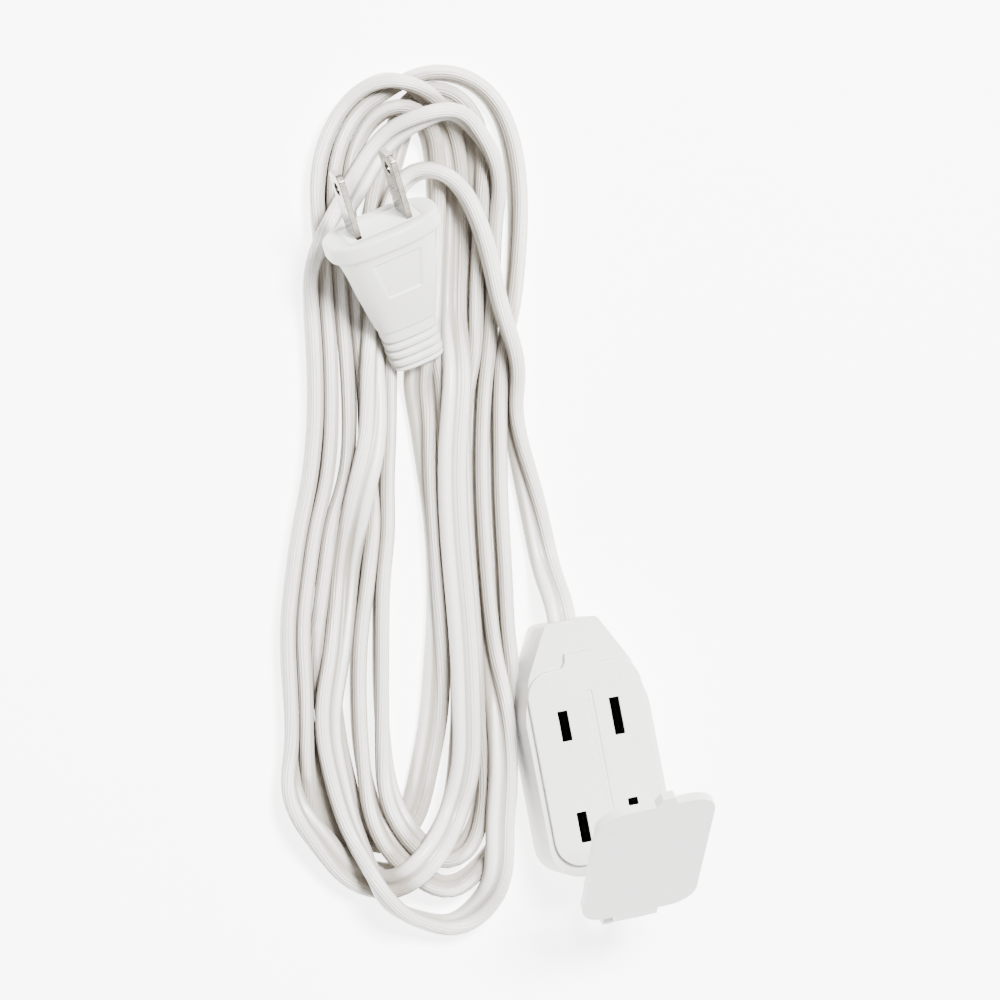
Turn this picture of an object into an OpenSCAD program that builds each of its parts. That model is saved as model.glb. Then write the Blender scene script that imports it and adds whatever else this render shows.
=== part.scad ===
// Household extension cord: a flat cord wound in a loose hank, a polarized two-blade plug
// on one end and a three-outlet connector with a hinged safety cover on the other.
// The connector lies on its rear outlet plate. The origin is the centre of that plate's
// outer face, +Z points out of the front outlets and +Y points to the cord end.

/* [Connector] */
// Length of the connector housing along Y
body_l = 59; // [58:0.5:62]
// Width of the connector housing
body_w = 30; // [29.5:0.5:32]
// Thickness from the rear plate's face to the front plate's face
body_t = 19.5; // [19:0.5:21]
// Width of the housing at its cord end
neck_w = 12.4; // [12:0.2:14]
// Wall thickness of the housing shells
wall = 2; // [1.8:0.1:2.2]
// Length of an outlet plate
plate_l = 45.6; // [45:0.2:46]
// Width of an outlet plate
plate_w = 27.5; // [27:0.1:28]
// How far an outlet plate stands proud of its shell
plate_proud = 1.3; // [1:0.1:1.5]

/* [Outlets] */
// Distance between the two blades of one plug
blade_pitch = 12.7; // [12.6:0.1:12.8]
// Distance between the two front outlets
outlet_pitch = 23.8; // [23:0.2:24.4]
// Width of a blade slot
slot_w = 2.4; // [2:0.1:2.5]
// Length of the slot for the narrow blade
slot_narrow = 7.1; // [7:0.1:7.6]
// Length of the slot for the wide blade
slot_wide = 8.8; // [8.6:0.1:9.2]

/* [Safety cover] */
// How far the cover stands open at rest, in degrees from the closed position
cover_open = 55; // [0:5:170]
// Thickness of the cover plate
cover_t = 2; // [1.6:0.1:2.2]
// Gap between the closed cover and the front plate
cover_gap = 0.3; // [0.3:0.05:0.4]
// Distance of the hinge pin beyond the end of the housing
pin_reach = 10.15; // [10:0.05:10.4]
// Height of the hinge pin above the rear plate's face
pin_z = 13.9; // [13.6:0.1:14.2]
// Radius of the hinge pin
pin_r = 0.8; // [0.7:0.05:0.9]

/* [Plug] */
// Length of the plug body
plug_l = 36.5; // [35:0.5:38]
// Width of the plug's nose flange across the blades
plug_w = 27; // [26:0.5:29]
// Thickness of the plug's nose flange
plug_t = 16; // [15.5:0.5:18]
// How far the blades stand out of the nose
blade_out = 15.9; // [15.2:0.1:17]
// How steeply the plug leans on the hank, in degrees
plug_lean = 28; // [26:1:30]

/* [Cord] */
// Width of the flat cord
cord_w = 6.9; // [6.6:0.1:7.1]
// Thickness of the flat cord
cord_t = 3.5; // [3.3:0.1:3.6]
// Length of the hank, end to end
hank_l = 205; // [200:1:208]
// Width of the hank
hank_w = 53; // [50:1:53]
// Height of the hank where its turns lie beside each other
hank_h = 8; // [7:0.5:10]

/* [Hidden] */

$fn = 48;
eps = 0.01;

// Heights in the connector
back_z = plate_proud;
front_z = body_t - plate_proud;
split_z = body_t / 2;
seat_depth = 0.8;
plate_t = plate_proud + seat_depth;

// Places in the connector
end_y = -body_l / 2;
neck_y = body_l / 2;
bend_y = 8.5;
shoulder_y = 18;
shoulder_in = 2.6;
plate_y = -4.05;
outlet_y = [5.65, 5.65 - outlet_pitch];
rear_outlet_y = -6.25;
cavity_end_y = 23;
channel_w = cord_w + 0.2;
channel_t = cord_t + 0.2;

// Hinge
pin_y = end_y - pin_reach;
ear_t = 2.2;
knuckle_w = 5;
hinge_gap = 0.3;
hinge_w = knuckle_w + 2 * (hinge_gap + ear_t);
ear_r = 2.3;
running_gap = 0.05;
cover_q = body_t + cover_gap - pin_z;
chamfer = 2.6;

// Contacts
leaf_t = 0.6;
leaf_l = 7;
leaf_gap = 0.8;
bar_t = 0.8;
crimp_r = 1.5;
crimp_l = 3.4;
crimp_y = 11.8;
crimp_z = split_z + bar_t / 2 + crimp_r;
strand_r = 0.75;
lead_r = 1.4;
lead_y = 16.6;

// Plug
plug_nose = [-28.3, 127.5, 24];
plug_turn = 13;
blade_t = 1.5;
blade_narrow = 6.35;
blade_wide = 7.9;
blade_in = 9;
bridge_w = 18;
bridge_t = 9;
bridge_l = 9;

// Hank and the cord between it and the connector
hank_centre = [-32.2, 64.3];
hank_turn = -10.4;
cord_sides = 8;
lead_path = [[0, 23.2, 9.75], [0, 29.5, 9.7], [0, 34, 9.6], [0, 39, 8.6], [-0.3, 44.5, 6.8], [-0.7, 50, 5.2],
             [-1.1, 56, 4.4], [-1.4, 62, 4], [-1.6, 68, 4], [-1.5, 74, 4], [-1.3, 80, 4],
             [-1.1, 86, 4], [-1.2, 92, 4], [-1.6, 98, 4]];

// Points of a polygon with rounded corners: each corner is [x, y, radius]
function unit(v) = v / norm(v);
function corner_arc(a, b, c, steps) =
    let (u = unit([a[0] - b[0], a[1] - b[1]]),
         v = unit([c[0] - b[0], c[1] - b[1]]),
         half = acos(u * v) / 2,
         reach = b[2] / tan(half),
         centre = [b[0], b[1]] + unit(u + v) * b[2] / sin(half),
         from = [b[0], b[1]] + u * reach - centre,
         turn = cross(u, v) > 0 ? -1 : 1)
    [for (i = [0 : steps])
        let (t = turn * (180 - 2 * half) * i / steps)
        centre + [from[0] * cos(t) - from[1] * sin(t), from[0] * sin(t) + from[1] * cos(t)]];
function rounded(corners, steps = 6) =
    let (n = len(corners))
    [for (i = [0 : n - 1])
        each corner_arc(corners[(i + n - 1) % n], corners[i], corners[(i + 1) % n], steps)];

// Plan outline of the housing, drawn in by d
module housing_outline(d = 0) {
    w = body_w / 2 - d;
    k = neck_w / 2 - d;
    s = w - shoulder_in;
    polygon(rounded([[-w, end_y + d, 7 - d], [w, end_y + d, 7 - d], [w, bend_y, 14],
                     [s, shoulder_y, 10], [k, neck_y - d, 1.6], [-k, neck_y - d, 1.6],
                     [-s, shoulder_y, 10], [-w, bend_y, 14]]));
}

// Plan outline of the room inside the housing
module cavity_outline() {
    intersection() {
        housing_outline(wall);
        translate([-body_w, end_y]) square([2 * body_w, cavity_end_y - end_y]);
    }
}

// Plan outline shared by the outlet plates and the cover
module plate_rectangle(grow = 0) {
    w = plate_w / 2 + grow;
    l = plate_l / 2 + grow;
    translate([0, plate_y]) polygon(rounded([[-w, -l, 6], [w, -l, 6], [w, l, 6], [-w, l, 6]]));
}

// Plan outline of the cover, with a lifting tab right of its middle
module cover_outline() {
    l = plate_l / 2;
    plate_rectangle();
    translate([0, plate_y])
        polygon([[-1.2, l - 1], [5, l - 1], [4.5, l], [3.9, l + 1.2], [3.3, l + 2.8],
                 [0.6, l + 2.8], [0, l + 1.2], [-0.6, l]]);
}

// Plan outline of an outlet plate, with the small tab at its cord end
module plate_outline(grow = 0) {
    l = plate_l / 2 + grow;
    plate_rectangle(grow);
    translate([0, plate_y]) {
        polygon([[-5.5 - grow, l - 1], [5.5 + grow, l - 1], [4.6 + grow, l], [3.6 + grow, l + 1.4],
                 [3.3 + grow, l + 3.2], [-3.3 - grow, l + 3.2], [-3.6 - grow, l + 1.4],
                 [-4.6 - grow, l]]);
    }
}

// The two blade slots of one outlet at height y, the narrow one on the side given
module slots(y, narrow_side, grow = 0) {
    for (side = [-1, 1]) {
        l = (side == narrow_side ? slot_narrow : slot_wide) + 2 * grow;
        w = slot_w + 2 * grow;
        translate([side * blade_pitch / 2 - w / 2, y - l / 2]) square([w, l]);
    }
}

module front_slots(grow = 0) {
    for (y = outlet_y) slots(y, -1, grow);
}

module rear_slots(grow = 0) {
    slots(rear_outlet_y, -1, grow);
}

// Hinge ears, seen from the side: a tapered arm from the housing's end to the pin
module ear_profile() {
    polygon([[0, -ear_r], [pin_reach + 1, -4.1], [pin_reach + 1, 1.4], [0, ear_r]]);
    circle(r = ear_r);
}

// Turns a side profile, drawn as [y, z] from the pin, into a slab of width w about x
module from_pin(x, w) {
    translate([x - w / 2, pin_y, pin_z]) rotate([90, 0, 90]) linear_extrude(w) children();
}

module housing_back() {
    color("ivory") difference() {
        translate([0, 0, back_z]) linear_extrude(split_z - back_z) housing_outline();
        translate([0, 0, back_z + wall]) linear_extrude(split_z) cavity_outline();
        translate([0, 0, back_z - eps]) linear_extrude(seat_depth + eps) plate_outline(0.05);
        translate([0, 0, back_z - 1]) linear_extrude(wall + 2) rear_slots(0.6);
        translate([0, (cavity_end_y + neck_y) / 2, split_z])
            cube([channel_w, neck_y - cavity_end_y + 1, channel_t], center = true);
    }
}

module housing_front() {
    color("ivory") {
        difference() {
            union() {
                translate([0, 0, split_z]) linear_extrude(front_z - split_z) housing_outline();
                for (side = [-1, 1])
                    from_pin(side * (hinge_w - ear_t) / 2, ear_t) ear_profile();
            }
            translate([0, 0, split_z - 1])
                linear_extrude(front_z - wall - split_z + 1) cavity_outline();
            translate([0, 0, front_z - seat_depth]) linear_extrude(2) plate_outline(0.05);
            translate([0, 0, front_z - wall - 1]) linear_extrude(wall + 2) front_slots(0.6);
            translate([0, (cavity_end_y + neck_y) / 2, split_z])
                cube([channel_w, neck_y - cavity_end_y + 1, channel_t], center = true);
            // Relief for the cover's arm where it passes over the housing's end
            translate([0, end_y, front_z]) rotate([45, 0, 0])
                cube([knuckle_w + 6, chamfer * sqrt(2), chamfer * sqrt(2)], center = true);
            translate([-body_w, pin_y, pin_z]) rotate([0, 90, 0])
                cylinder(r = pin_r, h = 2 * body_w);
        }
    }
}

module rear_plate() {
    color("whitesmoke") difference() {
        linear_extrude(plate_t) plate_outline();
        translate([0, 0, -1]) linear_extrude(plate_t + 2) rear_slots();
    }
}

module face_plate() {
    color("whitesmoke") translate([0, 0, body_t - plate_t]) difference() {
        linear_extrude(plate_t) plate_outline();
        translate([0, 0, -1]) linear_extrude(plate_t + 2) front_slots();
        // Shallow groove between the two columns of slots
        translate([0.6, plate_y - plate_l / 2 - 1, plate_t - 0.3])
            cube([0.9, plate_l - 5, 1]);
    }
}

// The cover in its closed place, over the front plate
module closed_cover() {
    difference() {
        union() {
            translate([0, 0, body_t + cover_gap]) linear_extrude(cover_t) cover_outline();
            from_pin(0, knuckle_w) {
                circle(r = ear_r - 0.1);
                polygon([[-1.4, 1.6], [10.4, cover_q + cover_t], [14.5, cover_q + cover_t],
                         [14.5, cover_q], [12.6, cover_q], [1.7, -1.4]]);
            }
            from_pin(0, hinge_w) polygon([[8.6, cover_q + 1], [10.4, cover_q + cover_t],
                [14.5, cover_q + cover_t], [14.5, cover_q], [12.6, cover_q], [9.6, 4.1]]);
        }
        translate([-body_w, pin_y, pin_z]) rotate([0, 90, 0])
            cylinder(r = pin_r + running_gap, h = 2 * body_w);
    }
}

module safety_cover() {
    color("white") translate([0, pin_y, pin_z]) rotate([cover_open, 0, 0])
        translate([0, -pin_y, -pin_z]) closed_cover();
}

module hinge_pin() {
    color("silver") translate([-hinge_w / 2, pin_y, pin_z]) rotate([0, 90, 0])
        cylinder(r = pin_r, h = hinge_w);
}

// One pair of spring leaves that grips a blade at height y, from z0 to z1
module leaves(y, z0, z1) {
    for (side = [-1, 1])
        translate([side > 0 ? leaf_gap : -leaf_gap - leaf_t, y - leaf_l / 2, z0])
            cube([leaf_t, leaf_l, z1 - z0]);
}

// A brass strip with contacts for the two front outlets and the rear one
module contact_strip(side) {
    x = side * blade_pitch / 2;
    inner_top = front_z - wall;
    inner_floor = back_z + wall;
    first = outlet_y[1] - leaf_l / 2;
    last = 14;
    color("gold") translate([x, 0, 0]) {
        translate([-leaf_gap - leaf_t, first, split_z - bar_t / 2])
            cube([2 * (leaf_gap + leaf_t), last - first, bar_t]);
        for (y = outlet_y) leaves(y, split_z, inner_top - 0.4);
        leaves(rear_outlet_y, inner_floor + 0.4, split_z);
    }
}

module contact_hot() contact_strip(-1);
module contact_neutral() contact_strip(1);

// The crimp that joins a strip to its lead
module crimp(side) {
    color("gold") translate([side * blade_pitch / 2, crimp_y, crimp_z])
        rotate([-90, 0, 0]) difference() {
            cylinder(r = crimp_r, h = crimp_l);
            translate([0, 0, -1]) cylinder(r = strand_r + running_gap, h = crimp_l + 2);
        }
}

module crimp_hot() crimp(-1);
module crimp_neutral() crimp(1);

// One insulated conductor between its crimp and the cord, with its bared end in the crimp
module lead(side) {
    from = [side * blade_pitch / 2, lead_y, crimp_z];
    to = [side * cord_w / 4, cavity_end_y - 1, split_z];
    run = to - from;
    color("peru") translate([from[0], crimp_y + 0.5, crimp_z]) rotate([-90, 0, 0])
        cylinder(r = strand_r, h = lead_y - crimp_y);
    color("ivory") translate(from)
        rotate([-90 - atan2(run[2], norm([run[0], run[1]])), 0, -atan2(run[0], run[1])])
            cylinder(r = lead_r, h = norm(run));
}

module lead_hot() lead(-1);
module lead_neutral() lead(1);

// Places its children in the plug's own frame: nose face at z = 0, blades along +Z,
// the blades side by side along X
module at_plug() {
    translate(plug_nose) rotate([0, 0, plug_turn]) rotate([-90 + plug_lean, 0, 0]) children();
}

// A rounded slab across the plug, w by t, from z0 over h
module plug_slab(w, t, r, z0, h) {
    translate([0, 0, z0]) linear_extrude(h)
        polygon(rounded([[-w / 2, -t / 2, r], [w / 2, -t / 2, r], [w / 2, t / 2, r],
                         [-w / 2, t / 2, r]], 4));
}

module plug_body() {
    color("ivory") at_plug() difference() {
        union() {
            plug_slab(plug_w, plug_t, 4, -4, 4);
            hull() {
                plug_slab(plug_w - 3, plug_t - 2, 4, -6, 2);
                plug_slab(19, 13, 4, -16, 1);
            }
            hull() {
                plug_slab(19, 13, 4, -16, 1);
                plug_slab(12, 8.4, 3, -plug_l + 10, 1);
            }
            plug_slab(12, 8.4, 3, -plug_l + 8, 3);
            for (i = [0 : 3]) plug_slab(11.6, 8, 3, -plug_l + 2.2 * i, 1.4);
            plug_slab(9.4, 6, 2.5, -plug_l, 9);
        }
        translate([0, 0, -bridge_l / 2])
            cube([bridge_w, bridge_t, bridge_l + 2 * eps], center = true);
        for (side = [-1, 1])
            translate([side * (cord_w / 4 + 1.2), 0, -17]) cylinder(r = 1.9, h = 9);
    }
}

// The insulating block that holds the two blades
module plug_bridge() {
    color("gainsboro") at_plug() difference() {
        translate([0, 0, -bridge_l / 2]) cube([bridge_w, bridge_t, bridge_l], center = true);
        for (side = [-1, 1])
            translate([side * blade_pitch / 2, 0, -bridge_l / 2])
                cube([blade_t, blade_wide + 0.1, bridge_l + 1], center = true);
    }
}

// One blade, with the hole near its tip
module blade(side, w) {
    color("silver") at_plug() translate([side * blade_pitch / 2, 0, 0]) difference() {
        translate([-blade_t / 2, -w / 2, -blade_in]) cube([blade_t, w, blade_in + blade_out - 1.4]);
        translate([-2, 0, 11.9]) rotate([0, 90, 0]) cylinder(r = 1.6, h = 4);
    }
    color("silver") at_plug() translate([side * blade_pitch / 2 - blade_t / 2, 0, 0])
        rotate([90, 0, 90]) linear_extrude(blade_t)
            polygon([[-w / 2, blade_out - 1.4], [w / 2, blade_out - 1.4],
                     [w / 2 - 1.2, blade_out], [-w / 2 + 1.2, blade_out]]);
}

module blade_hot() blade(-1, blade_narrow);
module blade_neutral() blade(1, blade_wide);

// One insulated conductor inside the plug body
module plug_lead(side) {
    color("ivory") at_plug()
        translate([side * (cord_w / 4 + 1.2), 0, -17]) cylinder(r = 1.9, h = 17 - bridge_l);
}

module plug_lead_hot() plug_lead(-1);
module plug_lead_neutral() plug_lead(1);

// The wound cord: the outer shape of all the turns, as one solid
module cord_hank() {
    r = hank_w / 2;
    run = hank_l / 2 - r;
    color("ivory") translate(hank_centre) rotate([0, 0, hank_turn]) linear_extrude(hank_h) {
        translate([-r, -run]) square([hank_w, 2 * run]);
        for (end = [-1, 1]) translate([0, end * run]) circle(r = r, $fn = 96);
    }
}

// Direction of a path at point i, and a flat oval ring of the cord across it
function path_dir(p, i) = unit(p[min(i + 1, len(p) - 1)] - p[max(i - 1, 0)]);
function ring(p, i) =
    let (d = path_dir(p, i), side = unit(cross(d, [0, 0, 1])), up = cross(side, d))
    [for (k = [0 : cord_sides - 1])
        let (a = 360 * (k + 0.5) / cord_sides)
        p[i] + side * cos(a) * cord_w / 2 / cos(180 / cord_sides) * 0.96
             + up * sin(a) * cord_t / 2 / cos(180 / cord_sides)];

// The cord as one tube swept along a list of points
module cord_tube(path) {
    n = len(path);
    m = cord_sides;
    points = [for (i = [0 : n - 1]) each ring(path, i)];
    walls = [for (i = [0 : n - 2], k = [0 : m - 1])
        [i * m + k, (i + 1) * m + k, (i + 1) * m + (k + 1) % m, i * m + (k + 1) % m]];
    first_cap = [for (k = [0 : m - 1]) k];
    last_cap = [for (k = [m - 1 : -1 : 0]) (n - 1) * m + k];
    polyhedron(points, concat(walls, [first_cap, last_cap]));
}

module cord_to_connector() {
    color("ivory") cord_tube(lead_path);
}

housing_back();
housing_front();
rear_plate();
face_plate();
safety_cover();
hinge_pin();
contact_hot();
contact_neutral();
crimp_hot();
crimp_neutral();
lead_hot();
lead_neutral();
plug_body();
plug_bridge();
blade_hot();
blade_neutral();
plug_lead_hot();
plug_lead_neutral();
cord_hank();
cord_to_connector();
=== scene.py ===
import math

import bmesh
import bpy
import numpy as np
from mathutils import Matrix, Vector


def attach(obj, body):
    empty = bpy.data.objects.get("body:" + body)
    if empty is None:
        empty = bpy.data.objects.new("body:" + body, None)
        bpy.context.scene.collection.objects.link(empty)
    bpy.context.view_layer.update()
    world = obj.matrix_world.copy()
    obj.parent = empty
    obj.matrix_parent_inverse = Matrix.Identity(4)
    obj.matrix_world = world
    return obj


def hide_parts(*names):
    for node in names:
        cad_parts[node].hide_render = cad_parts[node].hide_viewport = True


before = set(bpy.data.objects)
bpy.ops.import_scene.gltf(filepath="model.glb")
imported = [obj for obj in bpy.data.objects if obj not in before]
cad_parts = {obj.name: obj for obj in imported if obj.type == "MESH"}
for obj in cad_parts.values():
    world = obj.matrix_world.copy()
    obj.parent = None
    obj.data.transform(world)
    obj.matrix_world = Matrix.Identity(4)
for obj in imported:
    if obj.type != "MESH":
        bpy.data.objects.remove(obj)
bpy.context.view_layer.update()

MM = 0.001
CONNECTOR = "connector"

# ---------------------------------------------------------------- sizes
# The cord's section: two round lobes side by side, and the fine ribs on one of them.
CORD_W = 6.9
CORD_T = 3.5
LOBE_R = CORD_T / 2
LOBE_OFF = CORD_W / 2 - LOBE_R
RIB_DEEP = 0.24
LOBE_ARC = 142
RIBBED_POINTS = 49
SMOOTH_POINTS = 25
# The hank's place and turn, in the part's frame.
HANK_CENTRE = (-32.2, 64.3)
HANK_TURN = -10.4
# The connector's housing and the cord's way out of it.
BODY_L = 59.0
BODY_W = 30.0
TAPER_L = 19.0
NECK_Y = 29.5
CORD_EXIT = (0.0, NECK_Y, 9.7)
CORD_START_Y = 23.2
# The plug: the middle of its nose, its turn and lean in degrees, and its length.
PLUG_NOSE = (-28.3, 127.5, 24.0)
PLUG_TURN = 13.0
PLUG_LEAN = 28.0
PLUG_L = 36.5

# How the cord settles. Spacings of points along it, and what happens in each round.
ROUTE_STEP = 2.5
CORD_STEP = 2.0
ROUNDS = 640
LATE = 0.75
LAST = 0.9
SINK, SINK_LAST = 0.06, 0.02
STIFF, STIFF_LAST = 0.5, 0.25
EVEN_OUT = 0.05
HOLD_ROUTE, HOLD_ROUTE_LATE, HOLD_ROUTE_LAST = 0.1, 0.05, 0.02
HOLD_LIE, HOLD_LIE_LATE = 0.12, 0.06
PUSH, PUSH_LAST = 1.6, 2.4
LOOK_AGAIN = 10
LOOK_AROUND = CORD_T + 2.5
CLEAR = 0.05
SAME_STRETCH = 4 * CORD_W
WALL_GAP = 0.2
HELD_AT_NECK = 24
HELD_AT_TAIL = 20

# The cord's painted shade: how far off another stretch still closes one in, how much of its own
# length a stretch leaves out, and where across it the groove between the lobes starts and fades.
CREVICE_REACH = 16.0
CREVICE_SKIP = 5 * CORD_W
GROOVE_FROM = 0.95
GROOVE_FADE = 0.6

# The camera: where it aims, its tilt and roll in degrees, its distance and lens.
AIM = (-8.83, 59.99, 8.0)
TILT = 13.0
ROLL = 10.77
DISTANCE = 800
LENS = 122.6
SENSOR = 36


# ---------------------------------------------------------------- camera
def make_camera():
    """The camera stands over the hank, a little to its left, and looks down at it."""
    tilt = math.radians(TILT)
    roll = math.radians(ROLL)
    back = Vector((-math.sin(tilt), 0, math.cos(tilt)))
    level_up = Vector((0, 1, 0))
    level_right = level_up.cross(back)
    up = level_up * math.cos(roll) + level_right * math.sin(roll)
    right = level_right * math.cos(roll) - level_up * math.sin(roll)
    data = bpy.data.cameras.new("camera")
    data.sensor_width = SENSOR
    data.lens = LENS
    data.clip_start = 0.05
    camera = bpy.data.objects.new("camera", data)
    bpy.context.scene.collection.objects.link(camera)
    place = Matrix((right, up, back)).transposed().to_4x4()
    place.translation = Vector(AIM) * MM + back * DISTANCE * MM
    camera.matrix_world = place
    bpy.context.scene.camera = camera


# ---------------------------------------------------------------- the cord's route
# The hank's own frame: "across" grows to the right and "along" to the top of the hank, from its
# centre. Each turn is (across, along, height, lie), and lie is 0 where the flat cord stands on
# its edge and 1 where it lies flat.
LEAVE = [  # the connector's lead, up the right side and over the top of the other turns
    (36.0, -17.7, 8.5, 1), (34.6, -8.2, 5.5, .8), (32.0, 2.5, 4, .5), (29.5, 12, 5.5, .2),
    (27.3, 23.5, 9, 0), (25.6, 35, 10.5, 0), (23.8, 47, 10.5, 0), (20.4, 61, 10.5, 0),
    (18.2, 69.4, 10.5, 0), (14, 76.4, 10.5, 0), (8, 80, 10.5, .1), (1.4, 77.6, 9.5, .2),
    (-3, 69.8, 8, .2), (-4.8, 57, 5, 0), (-4.6, 42, 3.5, 0), (-2.8, 28, 3.5, 0), (-1.6, 18, 3.5, 0),
    (-3.2, 0, 3.5, 0), (-3.7, -9, 3.5, 0), (-4.1, -28, 3.5, 0), (-4.3, -46.5, 3.5, 0),
    (-3.4, -65, 4, .3), (-2.2, -73, 6, .6)]
TURN_1 = [  # inmost turn: low right leg, then over the left leg and round the bottom
    (.8, -79.4, 7, .7), (5.4, -83.8, 7, .7), (11, -85, 6, .5), (16, -82.4, 4.5, .2),
    (19.4, -77, 3.5, 0), (20.6, -70, 3.5, 0), (20.6, -57, 3.5, 0), (19.4, -47, 3.5, 0),
    (18, -33, 3.5, 0), (17.3, -23.4, 3.5, 0),
    (16, -4.6, 3.5, 0), (15.8, 14.4, 3.5, 0), (16.4, 28.5, 3.5, 0), (18, 47.5, 3.5, 0),
    (19.4, 64, 3.5, 0), (20.8, 74, 3.5, .2), (21.3, 81.5, 2.5, .5), (20.7, 87.8, 2, .7),
    (18.8, 93, 1.8, .8), (15.4, 96.8, 1.8, .8), (11.2, 98.2, 1.8, .8), (7, 97, 1.8, .8),
    (3.6, 93.4, 1.8, .8), (1.4, 87.6, 1.8, .8), (-.4, 80.8, 1.8, .8), (-2.4, 73.6, 2, .8),
    (-5.4, 61, 3, .5), (-7, 43, 6, .4),
    (-6.3, 23.3, 9, .8), (-6.9, 14, 9, .8), (-9.1, 2.3, 9, 1), (-12, -9.3, 9, 1),
    (-13.4, -16.3, 9, 1), (-15.6, -27.8, 8.5, 1), (-16.8, -37, 7.5, .8), (-17.2, -46.4, 7, .7),
    (-16, -65, 7, .6), (-11, -81, 9, .4), (-6, -89, 12, .1), (-1.4, -93, 12, 0)]
TURN_2 = [  # lowest at the bottom, over the top of the others at the top, then the left edge
    (5.6, -98.8, 6, 0), (11.8, -102.4, 4.5, .1), (17.2, -99.6, 5.5, .4), (20.4, -93, 7.5, .8),
    (21.9, -85.4, 9, 1), (23, -77, 9, 1), (23.6, -67, 8.8, 1), (23.4, -56, 8.3, .9),
    (22.8, -47, 7, .6), (22, -32.8, 4, .1), (21.4, -23.5, 3.5, 0),
    (20.2, 0, 3.5, 0), (20.1, 14.4, 3.5, 0), (21.2, 28.6, 3.5, 0),
    (22.5, 42.8, 3.5, 0), (23.3, 61.7, 4.5, 0), (23, 71, 7, 0), (21.7, 79.2, 10, 0),
    (19.8, 87.2, 12, 0), (15.8, 92.4, 13, 0), (10.6, 94.4, 14, 0), (5.4, 93, 14, .1),
    (.4, 88.6, 13.5, .4), (-4.2, 82.2, 13, .8), (-10.4, 75, 12, .8), (-14.3, 67.8, 10, .6),
    (-17.8, 58.7, 8, .3), (-19.1, 51.8, 7, 0), (-19.3, 37.7, 5, 0),
    (-19.1, 23.6, 3.5, 0), (-19.4, 14.2, 3.5, 0),
    (-21.6, 0, 3.5, 0), (-24.1, -16.1, 3.5, 0), (-25.2, -27.7, 3.5, 0), (-25.4, -46.3, 3.5, 0),
    (-24.2, -59, 4, .2), (-21.6, -73.5, 5.5, .7), (-17.6, -82.8, 5.6, .8),
    (-12.8, -88.8, 5.8, .8), (-7.4, -91.6, 6, .8), (-2.2, -90.8, 8.5, .9)]
TURN_3 = [  # flat over the bottom turns and up the middle of the right leg
    (3, -87.4, 11, 1), (8.2, -82.2, 11, 1), (12, -75.2, 9.5, 1), (14.3, -67.7, 9, 1),
    (15.9, -51.5, 9, 1), (15.1, -32.8, 9, 1), (14.3, -23.4, 9, 1), (12.6, 0, 9, 1),
    (12.7, 14, 9, 1), (13.8, 28.2, 9, 1), (15.4, 42.3, 9, 1), (16.4, 63.5, 9, .9),
    (16.2, 72.9, 9, .8), (15.6, 80, 9, .8), (14.6, 86.4, 8, .6), (12.4, 92.2, 8, .4),
    (8.4, 96.8, 8.5, .2), (3, 99.2, 9, 0), (-3, 98.8, 9, 0), (-8.2, 96, 9, 0),
    (-12.8, 91, 8.5, 0), (-16.4, 84, 8, .1), (-18.3, 76.1, 6, .2), (-18.6, 68.2, 4.5, .1),
    (-17.5, 58.8, 3.5, 0),
    (-16.9, 51.8, 3.5, 0), (-16.1, 37.7, 3.5, 0), (-15.5, 23.7, 3.5, 0), (-15.8, 14.3, 3.5, 0),
    (-17.4, 0, 4, 0), (-19.6, -9.2, 6, .1), (-20.9, -17.4, 8, .1), (-21.3, -27.8, 9, .1),
    (-21.6, -37, 7, 0), (-21.7, -46.4, 4, 0)]
TURN_4 = [  # low all the way, under the flat turn on the right
    (-20.8, -62, 2.6, .4), (-18.8, -72.6, 1.8, .9), (-14.4, -81.4, 1.8, 1), (-8.6, -87.6, 1.8, 1),
    (-2, -89.8, 1.8, 1), (4.4, -88, 1.8, 1), (9.6, -82.8, 1.8, 1), (13, -75.4, 2, .8),
    (14.8, -65, 3, .3),
    (14.8, -46.9, 3.5, 0), (13.8, -32.7, 3.5, 0), (13.1, -23.4, 3.5, 0), (11.9, -4.5, 3.5, 0),
    (11.7, 14.3, 3.5, 0), (10.3, 28.5, 3.5, 0), (10.3, 47.4, 3.5, 0), (10.5, 61.6, 3.5, 0),
    (10.6, 74, 4, 0), (10.3, 81, 6, .1), (8.4, 87.6, 7, .3), (4.6, 92.6, 7, .4),
    (-.6, 94.4, 7, .3), (-5.8, 92.4, 6, .1), (-9.4, 87.2, 4.5, 0), (-11, 81, 3.5, 0),
    (-11.2, 74, 3.5, 0), (-10.9, 63, 3.5, 0),
    (-7.9, 42.5, 3.5, 0), (-6.7, 23.7, 3.5, 0), (-6.8, 9.6, 3.5, 0), (-7, -4.4, 3.5, 0),
    (-7.8, -18.5, 3.5, 0), (-9.1, -27.9, 3.5, 0), (-9.8, -46.5, 3.5, 0), (-8.5, -65.2, 3.5, 0),
    (-5.6, -76.4, 6, .5)]
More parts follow.
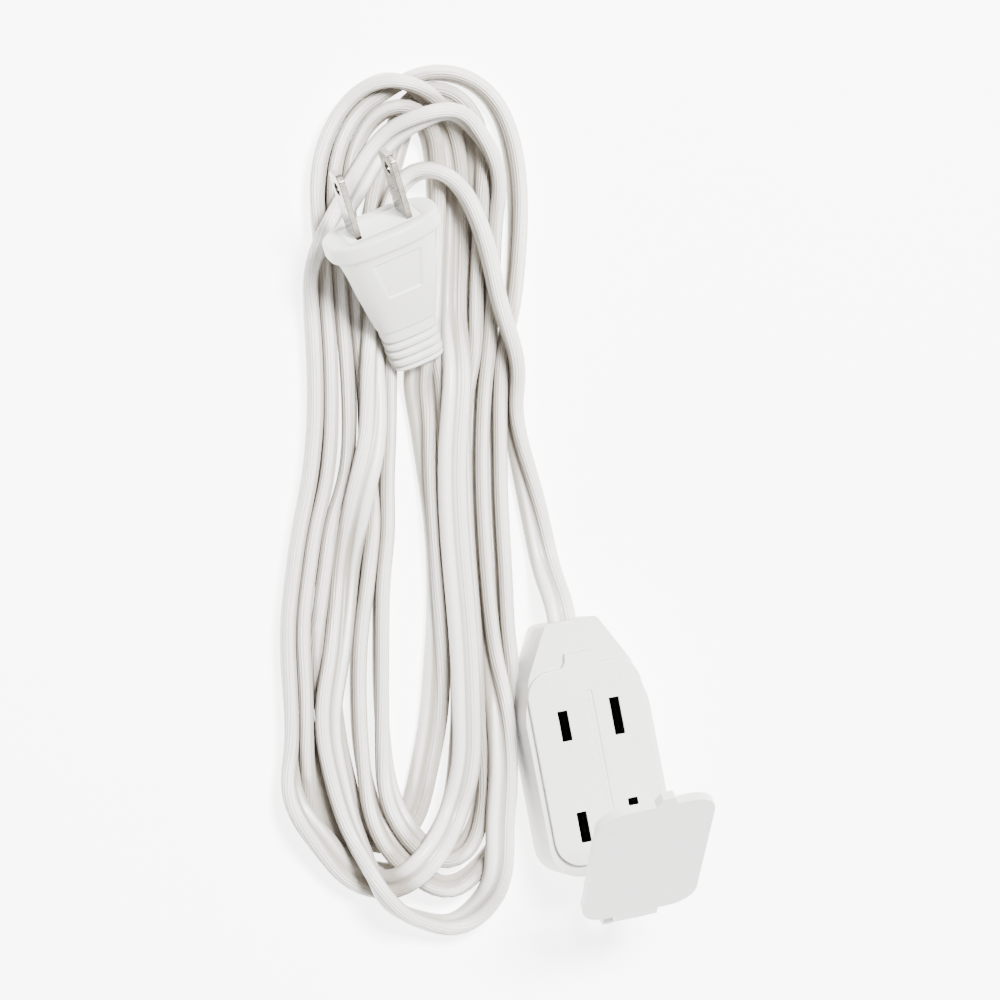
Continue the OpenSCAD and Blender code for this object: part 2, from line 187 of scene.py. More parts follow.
TURN_5 = [  # outermost on the right and at the top
    (-2, -84.6, 7, .7), (3.2, -89.6, 7, .6), (10, -92, 5, .3), (17, -91, 3.5, .1),
    (22, -86.4, 3.5, 0), (24.6, -79, 3.5, 0),
    (25.8, -70, 3.5, 0), (26.2, -61.2, 3.5, 0), (25.9, -47, 3.5, 0),
    (26, -32.9, 3.5, 0), (25.8, -23.5, 3.5, 0), (24.6, 0, 3.5, 0), (24.5, 14.4, 3.5, 0),
    (25.3, 23.9, 3.5, 0), (26.9, 35.7, 3.5, 0), (28.5, 47.6, 3.5, 0), (29.8, 61.9, 3.5, .1),
    (30, 76.3, 3.5, .2), (27.7, 89.3, 3.5, .1), (25.1, 96.4, 3.5, 0), (19.9, 101, 3.5, 0),
    (12.5, 102.2, 3.5, 0), (5.3, 101.4, 3.5, 0), (-3.1, 97.8, 3.5, 0), (-10.4, 90.8, 3.5, 0),
    (-14, 82.4, 3.5, 0), (-14.8, 70.7, 3.5, 0), (-13.5, 54.3, 3.5, 0), (-11.3, 37.8, 3.5, .1),
    (-11, 23.7, 3.5, .2), (-11.3, 14.3, 3.5, .1), (-12.6, 0, 3.5, 0), (-14.8, -9.1, 3.5, 0),
    (-17.6, -18.5, 3.5, 0), (-18.8, -27.7, 3, .3), (-18, -46.4, 1.8, 1),
    (-16, -62, 1.8, 1)]
ARRIVE = [  # from the bottom of the hank up to the plug's tail
    (-14.4, -70.4, 1.8, 1), (-11.8, -77.2, 1.8, 1), (-6.2, -81.2, 1.8, 1), (-.4, -79.6, 1.8, 1),
    (3.2, -73.4, 1.8, 1), (4.9, -67, 1.8, 1), (7.7, -57.4, 1.8, 1),
    (8.9, -51.5, 1.8, 1), (9.3, -32.8, 3.5, .3), (9.9, -23.4, 3.5, .1),
    (9.2, -11.6, 3.5, 0), (8.1, 0, 3.5, 0), (6.8, 13, 3.5, .3), (5.9, 22, 3.6, .8)]


def hank_to_frame(point):
    """A point of the hank's own frame, in the part's frame."""
    a = math.radians(HANK_TURN)
    x, y, z = point
    return (HANK_CENTRE[0] + x * math.cos(a) - y * math.sin(a),
            HANK_CENTRE[1] + x * math.sin(a) + y * math.cos(a), z)


def plug_axes():
    """Turns the plug's frame to the part's: x across the blades, y through it, z out of its nose."""
    turn = Matrix.Rotation(math.radians(PLUG_TURN), 3, "Z")
    lean = Matrix.Rotation(math.radians(-90 + PLUG_LEAN), 3, "X")
    return turn @ lean


def plug_point(x, y, z):
    """A point given in the plug's frame, in the part's frame, in millimetres."""
    return tuple(Vector(PLUG_NOSE) + plug_axes() @ Vector((x, y, z)))


def route():
    """Points of the whole route, (x, y, z, lie), in the part's frame, from connector to plug."""
    points = [(0, CORD_START_Y, 9.75, 1), (0, 26.5, 9.75, 1), (*CORD_EXIT, 1),
              (.1, 34.5, 9.4, 1)]
    for turn in (LEAVE, TURN_1, TURN_2, TURN_3, TURN_4, TURN_5, ARRIVE):
        points += [(*hank_to_frame(p[:3]), p[3]) for p in turn]
    tail = [plug_point(0, 0, -PLUG_L + back) for back in (-4, 0, 6)]
    return points + [(*p, 1) for p in tail]


def lengths_along(line):
    """The length run at each point of a line."""
    return np.concatenate([[0], np.cumsum(np.linalg.norm(np.diff(line, axis=0), axis=1))])


def between(first, second, from_knot, to_knot, t):
    """The point at knot t on the line through two points at their own knots."""
    span = to_knot - from_knot
    return first * (to_knot - t) / span + second * (t - from_knot) / span


def smooth_path(points, step):
    """A centripetal Catmull-Rom spline through the points, sampled evenly at about step."""
    p = np.array(points, float)
    p = np.vstack([2 * p[0] - p[1], p, 2 * p[-1] - p[-2]])
    fine = []
    for a, b, c, d in zip(p[:-3], p[1:-2], p[2:-1], p[3:]):
        k = [0.0]
        for q, r in ((a, b), (b, c), (c, d)):
            k.append(k[-1] + max(np.linalg.norm((r - q)[:3]), 1e-6) ** 0.5)
        for t in np.linspace(k[1], k[2], 12, endpoint=False):
            ab = between(a, b, k[0], k[1], t)
            bc = between(b, c, k[1], k[2], t)
            cd = between(c, d, k[2], k[3], t)
            abc = between(ab, bc, k[0], k[2], t)
            bcd = between(bc, cd, k[1], k[3], t)
            fine.append(between(abc, bcd, k[1], k[2], t))
    fine.append(p[-2])
    fine = np.array(fine)
    run = lengths_along(fine[:, :3])
    at = np.linspace(0, run[-1], int(run[-1] / step) + 1)
    return np.stack([np.interp(at, run, fine[:, k]) for k in range(4)], axis=1)


def unit_rows(v):
    """Each row at length 1."""
    return v / np.maximum(np.linalg.norm(v, axis=1, keepdims=True), 1e-9)


def square_to(half, along):
    """The rows of half with what points along the cord taken out, at length 1."""
    return unit_rows(half - along * (half * along).sum(1, keepdims=True))


def width_axes(centre, lie):
    """The direction of the cord's width at each point: level where lie is 1, upright at 0."""
    along = unit_rows(np.gradient(centre, axis=0))
    level = unit_rows(np.cross(along, (0, 0, 1.0)))
    upright = np.cross(level, along)
    angle = (math.pi / 2) * (1 - lie)[:, None]
    return level * np.cos(angle) + upright * np.sin(angle)


def spread_along(values, reach):
    """Values spread evenly over each point's neighbours along the cord."""
    weight = np.hanning(2 * reach + 3)[1:-1]
    weight /= weight.sum()
    out = np.empty_like(values)
    for k in range(values.shape[1]):
        padded = np.pad(values[:, k], reach, mode="edge")
        out[:, k] = np.convolve(padded, weight, mode="valid")
    return out


def near_pairs(flat, own, near, reach):
    """Pairs of lobe points of different stretches of the cord that are near each other."""
    first, second = [], []
    for k in range(0, len(flat), 256):
        gap = ((flat[k:k + 256, None] - flat[None]) ** 2).sum(2)
        i, j = np.nonzero(gap < reach ** 2)
        i = i + k
        keep = (i < j) & (np.abs(own[i] - own[j]) > near)
        first.append(i[keep])
        second.append(j[keep])
    return np.concatenate(first), np.concatenate(second)


def straighten(centre):
    """The way each point would go if the cord were bent more evenly there."""
    bend = np.zeros_like(centre)
    bend[2:-2] = (-centre[:-4] + 4 * centre[1:-3] + 4 * centre[3:-1] - centre[4:]) / 6 - centre[2:-2]
    return bend


def keep_apart(flat, along, own, pairs, step):
    """How far each lobe point has to move to clear the other lobes, the connector and the floor."""
    i, j = pairs
    gap = flat[i] - flat[j]
    t = along[own[j]]
    side = gap - t * np.clip((gap * t).sum(1, keepdims=True), -step * 0.6, step * 0.6)
    size = np.linalg.norm(side, axis=1)
    close = size < CORD_T + CLEAR
    push = side[close] / np.maximum(size[close], 1e-6)[:, None]
    push *= ((CORD_T + CLEAR - size[close]) * 0.5)[:, None]
    move = np.zeros_like(flat)
    count = np.zeros(len(flat))
    np.add.at(move, i[close], push)
    np.add.at(move, j[close], -push)
    np.add.at(count, i[close], 1)
    np.add.at(count, j[close], 1)
    move /= np.maximum(count, 1)[:, None]
    beside = (flat[:, 0] < -8) & (flat[:, 1] > NECK_Y - BODY_L) & (flat[:, 1] < NECK_Y - TAPER_L)
    past_wall = np.maximum(flat[:, 0] + LOBE_R + BODY_W / 2 + WALL_GAP, 0)
    move[:, 0] -= np.where(beside, past_wall, 0)
    move[:, 2] += np.maximum(LOBE_R - flat[:, 2], 0)
    return move


def settle(path, rounds):
    """Lets the cord settle: its two lobes keep off each other and off the floor, it stays as
    stiff as such a cord is, and it keeps near its route."""
    home = path[:, :3].copy()
    n = len(home)
    step = np.linalg.norm(np.diff(home, axis=0), axis=1).mean()
    held = np.ones((n, 1))
    held[:int(HELD_AT_NECK / step)] = 0
    held[-int(HELD_AT_TAIL / step):] = 0
    held = spread_along(held, 4)
    home += (spread_along(home, 4) - home) * held
    wish = width_axes(home, path[:, 3])
    centre, half = home.copy(), wish.copy()
    own = np.concatenate([np.arange(n), np.arange(n)])
    for r in range(rounds):
        late = r > rounds * LATE
        last = r > rounds * LAST
        centre[:, 2] -= (SINK_LAST if last else SINK) * held[:, 0]
        centre += (STIFF_LAST if last else STIFF) * straighten(centre) * held
        centre += (spread_along(centre, 3) - centre) * EVEN_OUT * held
        hold = HOLD_ROUTE_LAST if last else HOLD_ROUTE_LATE if late else HOLD_ROUTE
        centre[:, :2] += (spread_along(home - centre, 6)[:, :2]) * hold * held
        half += (wish - half) * (HOLD_LIE_LATE if late else HOLD_LIE) * held
        half = unit_rows(spread_along(half, 2))
        along = unit_rows(np.gradient(centre, axis=0))
        half = square_to(half, along)
        flat = np.concatenate([centre + half * LOBE_OFF, centre - half * LOBE_OFF])
        if r % LOOK_AGAIN == 0:
            pairs = near_pairs(flat, own, int(SAME_STRETCH / step), LOOK_AROUND)
        move = keep_apart(flat, along, own, pairs, step)
        both = (move[:n] + move[n:]) / 2
        turn = (move[:n] - move[n:]) / 2
        reach = 3 if late else 5
        both = spread_along(both, reach) * (PUSH_LAST if last else PUSH)
        both -= along * (both * along).sum(1, keepdims=True)
        centre += both * held
        half = unit_rows(half * LOBE_OFF + spread_along(turn, reach) * held)
    centre[:, 2] += np.maximum(LOBE_R - (centre[:, 2] - np.abs(half[:, 2]) * LOBE_OFF), 0)
    return spread_along(centre, 1), half


def refine(centre, wide, step):
    """The centreline and its width directions again, at an even finer spacing."""
    line = smooth_path(np.column_stack([centre, np.zeros(len(centre))]), step)[:, :3]
    run = lengths_along(centre)
    at = np.linspace(0, run[-1], len(line))
    return line, unit_rows(np.stack([np.interp(at, run, wide[:, k]) for k in range(3)], axis=1))


def cord_section():
    """The flat cord's outline, (across, through): two round lobes with a groove between them on
    both faces, and fine ribs on the lobe that leads to the wide blade."""
    outline = []
    for side, points, rib in ((1, RIBBED_POINTS, RIB_DEEP), (-1, SMOOTH_POINTS, 0.0)):
        for k in range(points):
            a = math.radians(-LOBE_ARC + 2 * LOBE_ARC * k / (points - 1))
            r = LOBE_R - (rib if k % 4 == 2 else 0) - (rib / 2 if k % 2 == 1 else 0)
            outline.append((side * (LOBE_OFF + r * math.cos(a)), side * r * math.sin(a)))
    return outline


def crevices(rings, outward, lobes, step):
    """How much other stretches of the cord close in each point of the rings, from 0 to 1."""
    count, points = rings.shape[:2]
    own = np.arange(len(lobes)) % (len(lobes) // 2)
    coarse = np.arange(0, count, 3)
    closed = np.zeros((len(coarse), points))
    patch = step * CORD_T / math.pi
    for row, k in enumerate(coarse):
        others = lobes[np.abs(own - k) > CREVICE_SKIP / step]
        others = others[np.linalg.norm(others - rings[k].mean(0), axis=1) < CREVICE_REACH]
        if not len(others):
            continue
        away = others[None] - rings[k][:, None]
        far = np.linalg.norm(away, axis=2)
        facing = np.maximum((away * outward[k][:, None]).sum(2) / far, 0)
        closed[row] = (facing * patch / np.maximum(far, LOBE_R) ** 2).sum(1)
    at = np.arange(count)
    return np.clip(np.stack([np.interp(at, coarse, closed[:, k]) for k in range(points)], axis=1), 0, 1)


def build_cord(centre, wide):
    """Sweeps the section along the settled centreline into one closed mesh."""
    section = np.array(cord_section())
    along = unit_rows(np.gradient(centre, axis=0))
    wide = square_to(wide, along)
    through = np.cross(along, wide)
    rings = (centre[:, None] + wide[:, None] * section[None, :, :1]
             + through[:, None] * section[None, :, 1:]) * MM
    n, m = rings.shape[:2]
    verts = [tuple(v) for v in rings.reshape(-1, 3)]
    faces = [(i * m + k, i * m + (k + 1) % m, (i + 1) * m + (k + 1) % m, (i + 1) * m + k)
             for i in range(n - 1) for k in range(m)]
    faces += [tuple(range(m - 1, -1, -1)), tuple(range((n - 1) * m, n * m))]
    mesh = bpy.data.meshes.new("cord")
    mesh.from_pydata(verts, [], faces)
    mesh.validate()
    mesh.polygons.foreach_set("use_smooth", [True] * len(mesh.polygons))
    # Painted shade, stored on the points: how deep each point lies in a rib valley or the groove between
    # the lobes, and how much other stretches of the cord close it in.
    lobe = np.sign(section[:, :1]) * LOBE_OFF
    outward = (wide[:, None] * (section[None, :, :1] - lobe) + through[:, None] * section[None, :, 1:])
    outward /= np.linalg.norm(outward, axis=2, keepdims=True)
    lobes = np.concatenate([centre + wide * LOBE_OFF, centre - wide * LOBE_OFF])
    depth = LOBE_R - np.hypot(section[:, 0] - lobe[:, 0], section[:, 1])
    groove = np.clip((GROOVE_FROM - np.abs(section[:, 0])) / GROOVE_FADE, 0, 1)
    hollow = np.maximum(depth / RIB_DEEP * 0.5, groove)[None] * np.ones((n, 1))
    closed = crevices(rings / MM, outward, lobes, np.linalg.norm(np.diff(centre, axis=0), axis=1).mean())
    for label, values in (("hollow", hollow), ("crevice", closed)):
        mesh.attributes.new(label, "FLOAT", "POINT").data.foreach_set("value", values.ravel())
    cord = bpy.data.objects.new("cord", mesh)
    bpy.context.scene.collection.objects.link(cord)
    return cord


make_camera()
centre, wide = refine(*settle(smooth_path(route(), ROUTE_STEP), ROUNDS), CORD_STEP)
cord = build_cord(centre, wide)
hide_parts("cord_hank", "cord_to_connector")
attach(cord, CONNECTOR)


# ---------------------------------------------------------------- the plug's moulding
# Sections of the moulding, (distance behind the nose, half width, half thickness, squareness).
PLUG_SECTIONS = [
    (0.0, 13.0, 7.4, 2.7), (0.15, 13.5, 7.8, 2.7), (0.5, 13.85, 8.05, 2.7), (1.0, 13.95, 8.1, 2.7),
    (3.5, 13.95, 8.1, 2.7), (4.0, 13.7, 7.9, 2.7), (4.3, 13.1, 7.5, 2.8), (4.7, 12.4, 7.15, 3.0),
    (5.6, 11.9, 6.95, 3.2), (8.0, 11.2, 6.85, 3.3), (12.0, 10.3, 6.7, 3.3), (16.0, 9.5, 6.4, 3.3),
    (20.0, 8.5, 5.7, 3.3), (24.0, 7.6, 4.95, 3.3), (25.0, 7.4, 4.8, 3.3), (25.4, 6.9, 4.4, 3.3),
    (28.5, 6.8, 4.3, 3.3), (33.0, 6.6, 4.2, 3.3), (35.6, 6.4, 4.1, 3.2), (36.2, 6.1, 3.8, 3.0),
    (36.5, 5.4, 3.2, 2.8)]
RIB_FIRST = 28.6
RIB_PITCH = 2.2
RIB_GROOVES = 4
GROOVE_DEEP = 1.0
GROOVE_HALF = 0.5
PANEL_HALF_W = 6.0
PANEL_NARROWS = 0.2
TAIL_ASIDE = -0.7
PANEL_FROM = 6.6
PANEL_TO = 15.6
PANEL_DEEP = 0.4
BRIDGE_W = 18.0
BRIDGE_T = 9.0


def rounded_ring(a, b, square, count):
    """A closed ring between an ellipse and a rectangle, evenly spaced around."""
    t = np.linspace(0, 2 * math.pi, count * 8, endpoint=False)
    x = a * np.sign(np.cos(t)) * np.abs(np.cos(t)) ** (2 / square)
    y = b * np.sign(np.sin(t)) * np.abs(np.sin(t)) ** (2 / square)
    ring = np.stack([x, y], axis=1)
    ring = np.vstack([ring, ring[:1]])
    run = lengths_along(ring)
    at = np.linspace(0, run[-1], count, endpoint=False)
    return np.stack([np.interp(at, run, ring[:, k]) for k in range(2)], axis=1)


def smooth_step(value, low, high):
    """0 below low, 1 above high, and an even rise between them."""
    t = np.clip((value - low) / (high - low), 0, 1)
    return t * t * (3 - 2 * t)


def mesh_piece(name, rings, close_ends=(True, True)):
    """One mesh from closed rings of points, in millimetres."""
    rings = np.array(rings)
    n, m = rings.shape[:2]
    faces = [(i * m + k, i * m + (k + 1) % m, (i + 1) * m + (k + 1) % m, (i + 1) * m + k)
             for i in range(n - 1) for k in range(m)]
    if close_ends[0]:
        faces.append(tuple(range(m - 1, -1, -1)))
    if close_ends[1]:
        faces.append(tuple(range((n - 1) * m, n * m)))
    mesh = bpy.data.meshes.new(name)
    mesh.from_pydata([tuple(v) for v in rings.reshape(-1, 3) * MM], [], faces)
    mesh.validate()
    work = bmesh.new()
    work.from_mesh(mesh)
    bmesh.ops.recalc_face_normals(work, faces=work.faces)
    work.to_mesh(mesh)
    work.free()
    mesh.polygons.foreach_set("use_smooth", [True] * len(mesh.polygons))
    piece = bpy.data.objects.new(name, mesh)
    bpy.context.scene.collection.objects.link(piece)
    return piece


def build_plug():
    """The plug's overmoulding: a wide soft nose, a tapered grip with a shallow panel on each
    face, and a tail with grooves round it that lets the cord bend."""
    around = 220
    table = np.array(PLUG_SECTIONS)
    back = np.concatenate([np.linspace(0, 1.2, 9)[:-1], np.arange(1.2, PLUG_L - 1.0, 0.2),
                           np.linspace(PLUG_L - 0.9, PLUG_L, 8)])
    rings = [np.column_stack([rounded_ring(BRIDGE_W / 2 + 0.03, BRIDGE_T / 2 + 0.03, 24, around),
                              np.full(around, -z)]) for z in (3.0, 0.15)]
    rings.append(np.column_stack([rounded_ring(BRIDGE_W / 2 + 0.15, BRIDGE_T / 2 + 0.15, 20, around),
                                  np.zeros(around)]))
    for z in back:
        a, b, square = (np.interp(z, table[:, 0], table[:, k]) for k in (1, 2, 3))
        in_grip = (z - RIB_FIRST) / RIB_PITCH
        if -0.3 < in_grip < RIB_GROOVES - 0.7:
            dip = GROOVE_DEEP * max(0, 1 - ((in_grip - round(in_grip)) * RIB_PITCH / GROOVE_HALF) ** 2)
        else:
            dip = 0
        ring = rounded_ring(a - dip, b - dip, square, around)
        half = PANEL_HALF_W - PANEL_NARROWS * (z - PANEL_FROM)
        down = 1 - smooth_step(np.abs(ring[:, 0]), half - 0.2, half + 0.15)
        ends = smooth_step(z, PANEL_FROM - 0.2, PANEL_FROM + 0.2) * (
            1 - smooth_step(z, PANEL_TO - 0.2, PANEL_TO + 0.2))
        ring[:, 1] -= np.sign(ring[:, 1]) * PANEL_DEEP * down * ends
        ring[:, 0] += TAIL_ASIDE * smooth_step(z, 8, 26)
        rings.append(np.column_stack([ring, np.full(around, -z)]))
    axes = np.array(plug_axes())
    rings = [np.array(PLUG_NOSE) + ring @ axes.T for ring in rings]
    return mesh_piece("plug_moulding", rings, (False, True))


plug = build_plug()
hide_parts("plug_body")
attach(plug, CONNECTOR)


# ---------------------------------------------------------------- soft edges on the parts
# The width of each part's rounded edges, in millimetres.
EDGE_ROUND = {"housing_back": 0.7, "housing_front": 0.7, "rear_plate": 0.4, "face_plate": 0.4,
              "safety_cover": 0.75, "blade_hot": 0.16, "blade_neutral": 0.16, "contact_hot": 0.1,
              "contact_neutral": 0.1, "hinge_pin": 0.1}
for name, width in EDGE_ROUND.items():
    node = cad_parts[name]
    weld = node.modifiers.new("weld", "WELD")
    weld.merge_threshold = 0.01 * MM
    soft = node.modifiers.new("soft_edges", "BEVEL")
    soft.width = width * MM
    soft.segments = 4
    soft.limit_method = "ANGLE"
    soft.angle_limit = math.radians(38)
    soft.use_clamp_overlap = True
    shaded = node.modifiers.new("even_shading", "WEIGHTED_NORMAL")
    shaded.keep_sharp = False


# ---------------------------------------------------------------- materials
class Look:
    """Builds one material's nodes."""

    def __init__(self, name):
        self.material = bpy.data.materials.new(name)
        self.material.use_nodes = True
        self.tree = self.material.node_tree
        self.shader = self.tree.nodes["Principled BSDF"]
        self.place = self.add("ShaderNodeTexCoord").outputs["Object"]

    def add(self, kind, **settings):
        node = self.tree.nodes.new(kind)
        for key, value in settings.items():
            setattr(node, key, value)
        return node

    def feed(self, source, socket):
        if hasattr(source, "is_output"):
            self.tree.links.new(source, socket)
        else:
            socket.default_value = source

    def noise(self, size, detail=3.0, stretch=None):
        """Noise whose features are about size millimetres across."""
        place = self.place
        if stretch:
            mapping = self.add("ShaderNodeMapping")
            self.feed(self.place, mapping.inputs["Vector"])
            mapping.inputs["Scale"].default_value = stretch
            place = mapping.outputs["Vector"]
        node = self.add("ShaderNodeTexNoise")
        self.feed(place, node.inputs["Vector"])
        node.inputs["Scale"].default_value = 1 / (size * MM)
        node.inputs["Detail"].default_value = detail
        return node.outputs["Fac"]

    def span(self, value, low, high, start=0.3, end=0.7):
        node = self.add("ShaderNodeMapRange")
        self.feed(value, node.inputs["Value"])
        for key, number in (("From Min", start), ("From Max", end), ("To Min", low), ("To Max", high)):
            node.inputs[key].default_value = number
        return node.outputs["Result"]

    def mix(self, factor, first, second):
        node = self.add("ShaderNodeMix", data_type="RGBA")
        self.feed(factor, node.inputs[0])
        self.feed(first if hasattr(first, "is_output") else (*first, 1), node.inputs[6])
        self.feed(second if hasattr(second, "is_output") else (*second, 1), node.inputs[7])
        return node.outputs[2]

    def times(self, first, second):
        node = self.add("ShaderNodeMath", operation="MULTIPLY")
        self.feed(first, node.inputs[0])
        self.feed(second, node.inputs[1])
        return node.outputs[0]

    def within(self, low, high, soft):
        """1 inside a box of the part's frame, in millimetres, falling to 0 over soft outside it."""
        parts = self.add("ShaderNodeSeparateXYZ")
        self.feed(self.place, parts.inputs[0])
        result = None
        for axis in range(3):
            middle = self.add("ShaderNodeMath", operation="SUBTRACT")
            self.feed(parts.outputs[axis], middle.inputs[0])
            middle.inputs[1].default_value = (low[axis] + high[axis]) / 2 * MM
            size = self.add("ShaderNodeMath", operation="ABSOLUTE")
            self.feed(middle.outputs[0], size.inputs[0])
            half = (high[axis] - low[axis]) / 2 * MM
            inside = self.span(size.outputs[0], 1, 0, half, half + soft * MM)
            result = inside if result is None else self.times(result, inside)
        return result

    def bump(self, height, depth, normal=None):
        node = self.add("ShaderNodeBump")
        node.inputs["Strength"].default_value = 0.6
        node.inputs["Distance"].default_value = depth * MM
        self.feed(height, node.inputs["Height"])
        if normal is not None:
            self.feed(normal, node.inputs["Normal"])
        return node.outputs["Normal"]

    def finish(self, colour, rough, normal):
        self.feed(colour, self.shader.inputs["Base Color"])
        self.feed(rough, self.shader.inputs["Roughness"])
        self.feed(normal, self.shader.inputs["Normal"])
        return self.material


# Warm grey for the painted shade in the cord's rib valleys, lobe groove and crevices.
PAINTED_SHADE_TINT = (0.27, 0.235, 0.19)
# Near black for the painted shade inside the connector's cavity, slots and contacts.
PAINTED_SHADE_BLACK = (0.010, 0.010, 0.009)


def plastic(name, tone, worn, rough, grain=0.012, ripple=0.05, coat=0.0, painted_shade_box=None):
    """Moulded plastic: slightly cloudy colour, fine grain and the faint ripple of a moulding."""
    look = Look(name)
    colour = look.mix(look.span(look.noise(9, 4), 0, 1), tone, worn)
    specks = look.noise(0.35, 2)
    colour = look.mix(look.span(specks, 0, 0.10), colour, [c * 0.8 for c in worn])
    # Painted shade: near black inside the box, where the connector's cavity and slots lie in shade.
    if painted_shade_box:
        colour = look.mix(look.within(*painted_shade_box), colour, PAINTED_SHADE_BLACK)
    roughness = look.span(look.noise(2.5, 3), rough - 0.06, rough + 0.08)
    normal = look.bump(specks, grain, look.bump(look.noise(6, 2), ripple))
    look.shader.inputs["Coat Weight"].default_value = coat
    look.shader.inputs["Coat Roughness"].default_value = 0.25
    return look.finish(colour, roughness, normal)


def metal(name, tone, stain, rough, stretch, scratch=0.006, painted_shade_box=None):
    """Bare metal with fine lines one way, dull patches and a few handling marks."""
    look = Look(name)
    patches = look.noise(3.5, 5)
    colour = look.mix(look.span(patches, 0, 0.8, 0.42, 0.75), tone, stain)
    # Painted shade: near black inside the box, where the contacts lie in the shade under the slots.
    if painted_shade_box:
        colour = look.mix(look.within(*painted_shade_box), colour, PAINTED_SHADE_BLACK)
    lines = look.noise(0.6, 3, stretch)
    roughness = look.span(lines, rough - 0.07, rough + 0.12)
    normal = look.bump(lines, scratch)
    look.shader.inputs["Metallic"].default_value = 1.0
    return look.finish(colour, roughness, normal)


def vinyl(name, tone, worn, rough):
    """Soft flexible vinyl: a low sheen, faint handling marks, and painted shade in its grooves and
    crevices.
    """
    look = Look(name)
    colour = look.mix(look.span(look.noise(14, 4), 0, 1), tone, worn)
    smudge = look.noise(1.6, 4)
    colour = look.mix(look.span(smudge, 0, 0.16, 0.5, 0.75), colour, [c * 0.82 for c in worn])
    # Painted shade: the warm grey laid into the rib valleys, the groove between the lobes and where
    # other stretches of the cord close a point in.
    for label, most, start, end in (("hollow", 0.6, 0.05, 1.0), ("crevice", 0.72, 0.08, 0.5)):
        amount = look.add("ShaderNodeAttribute", attribute_name=label).outputs["Fac"]
        colour = look.mix(look.span(amount, 0, most, start, end), colour, PAINTED_SHADE_TINT)
    roughness = look.span(smudge, rough - 0.07, rough + 0.1)
    normal = look.bump(look.noise(0.3, 2), 0.012)
    return look.finish(colour, roughness, normal)


# Boxes in the part's frame, (low corner, high corner, softness), inside which painted shade turns the
# surface near black: the slots' walls in both plates, the contacts under them and the room between the
# plates.
SLOTS_TOP = ((-9, -24, 10), (9, 12, 19.08), 0.06)
SLOTS_BACK = ((-9, -15, 0.42), (9, 3, 6), 0.06)
# Painted shade on the contacts under the slots.
CONTACTS_IN_PAINTED_SHADE = ((-9, -24, 3), (9, 10.3, 17), 0.4)
ROOM = ((-12.3, -27.3, 2.2), (12.3, 8, 17.3), 0.1)
LOOKS = {
    "housing_plastic": plastic("housing_plastic", (0.69, 0.684, 0.652), (0.665, 0.656, 0.62), 0.42,
                               painted_shade_box=ROOM),
    "face_plastic": plastic("face_plastic", (0.72, 0.716, 0.69), (0.695, 0.69, 0.66), 0.3,
                            grain=0.006, coat=0.2, painted_shade_box=SLOTS_TOP),
    "back_plastic": plastic("back_plastic", (0.72, 0.716, 0.69), (0.695, 0.69, 0.66), 0.3,
                            grain=0.006, coat=0.2, painted_shade_box=SLOTS_BACK),
    "cover_plastic": plastic("cover_plastic", (0.70, 0.692, 0.672), (0.675, 0.666, 0.642), 0.33,
                             grain=0.008, coat=0.15),
    "plug_vinyl": plastic("plug_vinyl", (0.69, 0.684, 0.648), (0.665, 0.657, 0.616), 0.44),
    "bridge_plastic": plastic("bridge_plastic", (0.83, 0.828, 0.80), (0.81, 0.805, 0.77), 0.5),
    "cord_vinyl": vinyl("cord_vinyl", (0.77, 0.754, 0.72), (0.745, 0.725, 0.682), 0.34),
    "blade_nickel": metal("blade_nickel", (0.21, 0.195, 0.165), (0.13, 0.118, 0.10), 0.18, (1, 1, 0.15),
                          scratch=0.001),
    "contact_brass": metal("contact_brass", (0.80, 0.62, 0.30), (0.55, 0.38, 0.17), 0.3, (1, 0.15, 1),
                           painted_shade_box=CONTACTS_IN_PAINTED_SHADE),
    "pin_steel": metal("pin_steel", (0.62, 0.62, 0.62), (0.42, 0.41, 0.4), 0.25, (0.15, 1, 1)),
}
NODE_LOOKS = {
    "housing_back": "housing_plastic", "housing_front": "housing_plastic", "rear_plate": "back_plastic",
    "face_plate": "face_plastic", "safety_cover": "cover_plastic", "hinge_pin": "pin_steel",
    "contact_hot": "contact_brass", "contact_neutral": "contact_brass", "crimp_hot": "contact_brass",
    "crimp_neutral": "contact_brass", "lead_hot": "cord_vinyl", "lead_neutral": "cord_vinyl",
    "plug_bridge": "bridge_plastic", "blade_hot": "blade_nickel", "blade_neutral": "blade_nickel",
    "plug_lead_hot": "cord_vinyl", "plug_lead_neutral": "cord_vinyl"}


def wear(piece, look):
    """Gives a piece one of the looks, in place of any it has."""
    piece.data.materials.clear()
    piece.data.materials.append(LOOKS[look])


for name, look in NODE_LOOKS.items():
    wear(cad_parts[name], look)
wear(cord, "cord_vinyl")
wear(plug, "plug_vinyl")


# ---------------------------------------------------------------- floor and light
FLOOR_HALF = 3
FLOOR_GLOW = 4.0


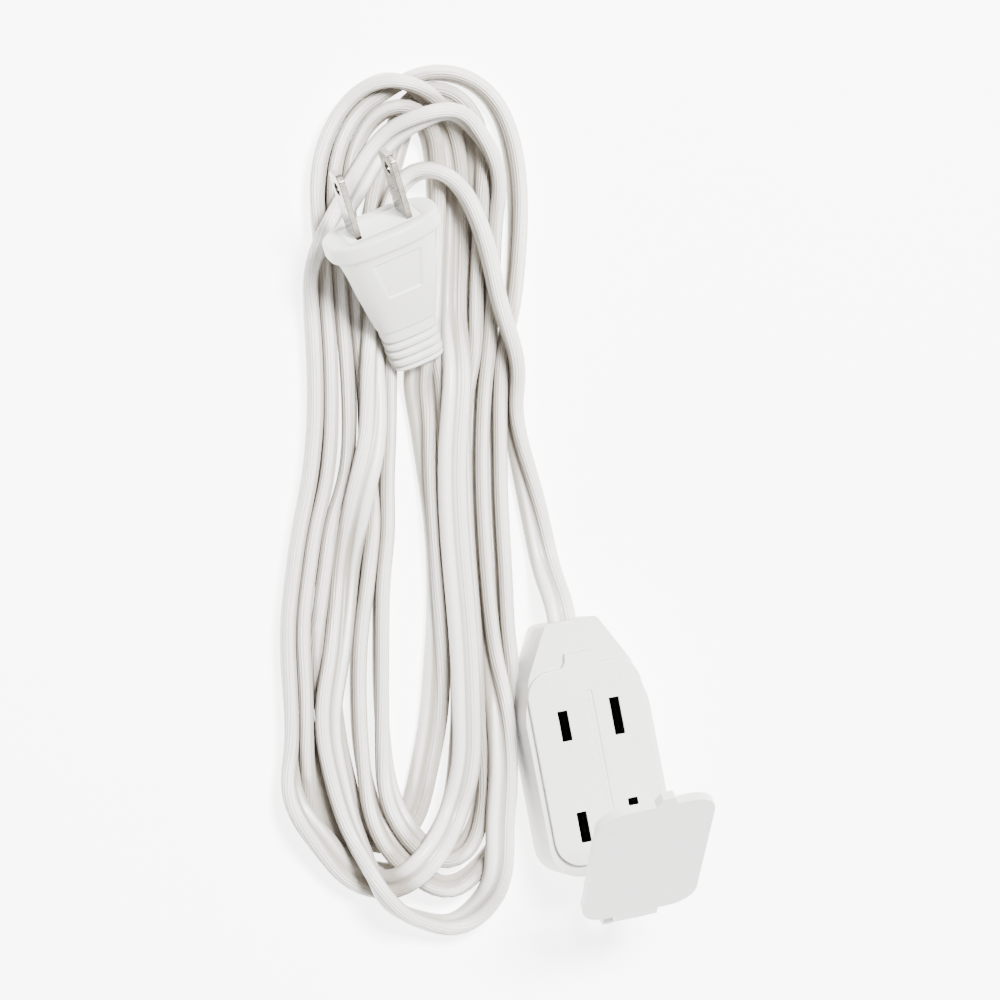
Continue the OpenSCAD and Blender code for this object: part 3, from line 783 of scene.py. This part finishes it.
def make_floor():
    """A wide pale sheet with a faint paper grain, which gives off some light of its own so that
    it's as bright as in a product photo."""
    mesh = bpy.data.meshes.new("floor")
    work = bmesh.new()
    bmesh.ops.create_grid(work, x_segments=8, y_segments=8, size=FLOOR_HALF)
    work.to_mesh(mesh)
    work.free()
    floor = bpy.data.objects.new("floor", mesh)
    bpy.context.scene.collection.objects.link(floor)
    look = Look("paper")
    colour = look.mix(look.span(look.noise(40, 3), 0, 1), (0.93, 0.93, 0.93), (0.915, 0.915, 0.915))
    look.shader.inputs["Emission Color"].default_value = (1, 1, 1, 1)
    look.shader.inputs["Emission Strength"].default_value = FLOOR_GLOW
    mesh.materials.append(look.finish(colour, 0.8, look.bump(look.noise(0.8, 3), 0.01)))


def area(name, place, size, power, target=(-0.03, 0.06, 0)):
    """A rectangular lamp aimed at the hank, in metres and watts."""
    light = bpy.data.lights.new(name, "AREA")
    light.shape = "RECTANGLE"
    light.size, light.size_y = size
    light.energy = power
    lamp = bpy.data.objects.new(name, light)
    bpy.context.scene.collection.objects.link(lamp)
    lamp.location = place
    lamp.rotation_euler = (Vector(target) - Vector(place)).to_track_quat("-Z", "Y").to_euler()


def make_light():
    """A bright room, darker near the horizon so that the metal has something to reflect."""
    world = bpy.data.worlds.new("world")
    bpy.context.scene.world = world
    world.use_nodes = True
    tree = world.node_tree
    coords = tree.nodes.new("ShaderNodeTexCoord")
    parts = tree.nodes.new("ShaderNodeSeparateXYZ")
    ramp = tree.nodes.new("ShaderNodeMapRange")
    tree.links.new(coords.outputs["Generated"], parts.inputs[0])
    tree.links.new(parts.outputs[2], ramp.inputs["Value"])
    for key, number in (("From Min", 0.1), ("From Max", 0.9), ("To Min", 0.2), ("To Max", 0.5)):
        ramp.inputs[key].default_value = number
    tree.links.new(ramp.outputs["Result"], tree.nodes["Background"].inputs["Strength"])
    tree.nodes["Background"].inputs["Color"].default_value = (1, 1, 1, 1)
    area("key", place=(0.20, 0.36, 0.92), size=(0.3, 0.3), power=50)
    area("low", place=(0.44, -0.75, 0.60), size=(0.5, 0.5), power=7)


make_floor()
make_light()
